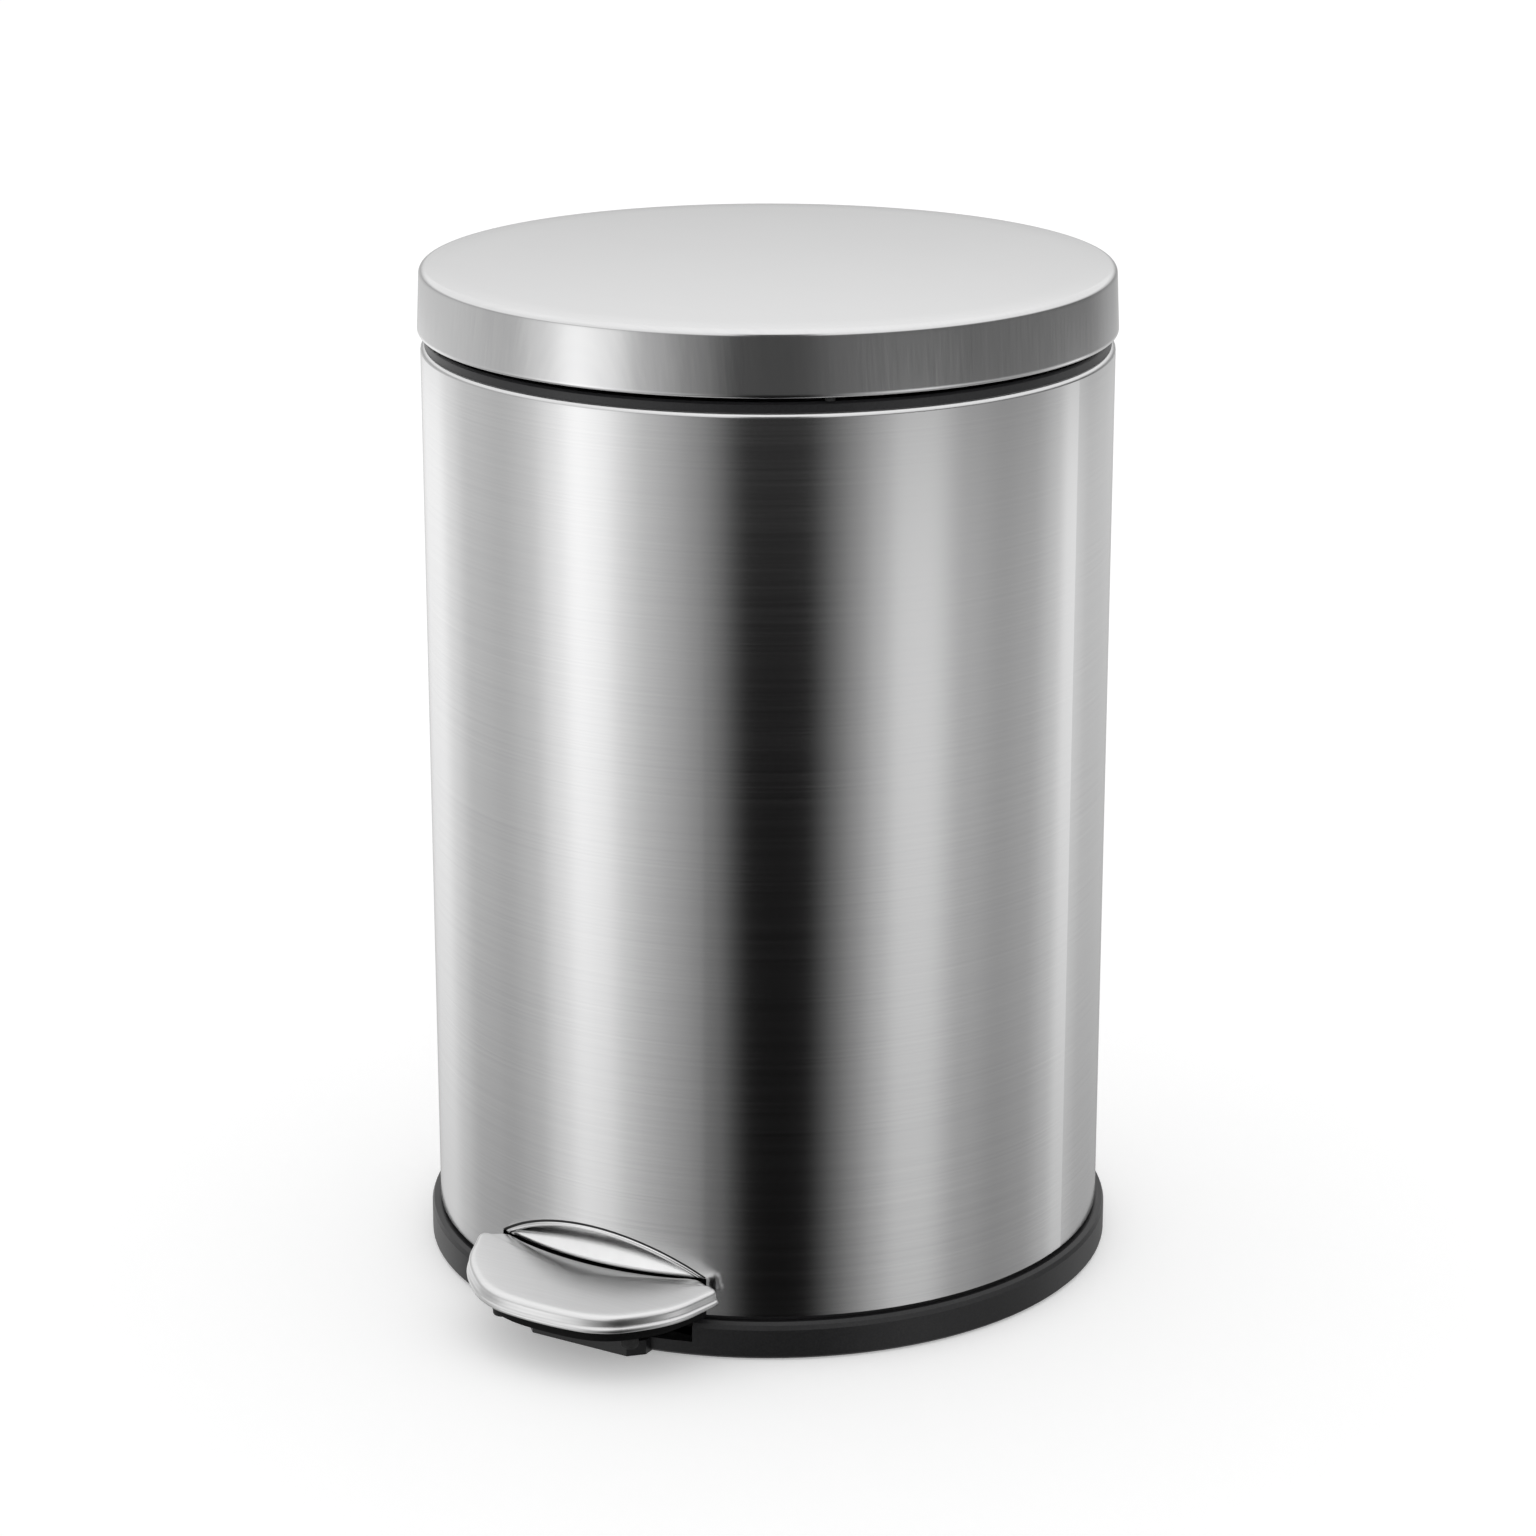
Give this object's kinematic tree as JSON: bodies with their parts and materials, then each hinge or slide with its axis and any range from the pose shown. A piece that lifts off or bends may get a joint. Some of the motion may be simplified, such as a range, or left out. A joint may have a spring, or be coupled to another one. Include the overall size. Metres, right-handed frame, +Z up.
{
  "type": "pedal bin",
  "caption": "Round brushed-steel step bin: a foot pedal lifts a rod that opens the hinged lid over a lift-out plastic bucket with a bail handle.",
  "frame": {"origin": "on the axis of the round body, at floor level", "axes": "+Z up along the body's axis; the pedal points towards -Y; +X is to the right when facing the pedal"},
  "size_m": [0.2566, 0.3058, 0.3719],
  "materials": {
    "brushed_steel_body": "satin, brushed round the body",
    "brushed_steel_lid": "satin, fine straight brushing on the top",
    "polished_steel": "polished",
    "satin_steel_pedal": "satin top with a polished edge",
    "galvanised_steel": "dull zinc coating",
    "black_painted_steel": "black stove enamel",
    "bright_steel": "bright drawn steel",
    "zinc_screws": "zinc plated",
    "black_base_plastic": "matte moulded",
    "black_collar_plastic": "fine matte texture",
    "grey_plastic": "matte moulded",
    "grey_bucket_plastic": "smooth satin moulding",
    "black_rubber": "matte"
  },
  "bodies": {
    "bin": {"body_shell": "brushed_steel_body", "toe_recess": "polished_steel", "base_ring": "black_base_plastic", "anti_slip_ring": "black_rubber", "base_plate": "black_painted_steel", "base_screws": "zinc_screws", "axle_brackets": "galvanised_steel", "bracket_rivets": "zinc_screws", "pedal_axle": "bright_steel", "axle_clips": "bright_steel", "rod_guides": "grey_plastic", "damper_cylinder": "black_base_plastic", "damper_clips": "grey_plastic", "top_ring": "black_collar_plastic", "hinge_bracket": "galvanised_steel", "hinge_pin": "bright_steel", "hinge_screws": "zinc_screws", "hinge_cover": "black_collar_plastic"},
    "pedal": {"pedal_cover": "satin_steel_pedal", "pedal_core": "black_base_plastic", "pedal_pads": "black_rubber", "pedal_lever": "galvanised_steel", "pedal_screws": "zinc_screws"},
    "lift_rod": {"lift_rod": "bright_steel", "rod_foot_pin": "bright_steel", "damper_piston": "bright_steel", "damper_yoke": "galvanised_steel"},
    "lid": {"lid_shell": "brushed_steel_lid", "lid_liner": "black_collar_plastic", "lid_bumpers": "black_rubber", "hinge_arm": "black_collar_plastic", "lid_screws": "zinc_screws", "crank_pin": "bright_steel"},
    "bucket": {"inner_bucket": "grey_bucket_plastic"},
    "bail": {"bail_handle": "bright_steel", "bail_grip": "black_base_plastic"}
  },
  "joints": [
    {"name": "lid_hinge", "type": "hinge", "parent": "bin", "child": "lid", "pos_m": [0, 0.132, 0.34], "axis": [-1, 0, 0], "range_deg": [0, 75]},
    {"name": "pedal_pivot", "type": "hinge", "parent": "bin", "child": "pedal", "pos_m": [0, -0.07, 0.021], "axis": [1, 0, 0], "range_deg": [0, 7.49]},
    {"name": "rod_slide", "type": "slide", "parent": "bin", "child": "lift_rod", "axis": [0, 0, 1], "range_m": [0, 0.02408]},
    {"name": "bucket_lift", "type": "slide", "parent": "bin", "child": "bucket", "axis": [0, 0, 1], "range_m": [0, 0.004]},
    {"name": "bail_swing", "type": "hinge", "parent": "bucket", "child": "bail", "pos_m": [0, 0, 0.3444], "axis": [-1, 0, 0], "range_deg": [0, 7]}
  ],
  "couplings": [
    {"joint": "pedal_pivot", "follows": "lid_hinge", "ratio": 0.099621},
    {"joint": "rod_slide", "follows": "lid_hinge", "m_per_rad": 0.01836}
  ]
}
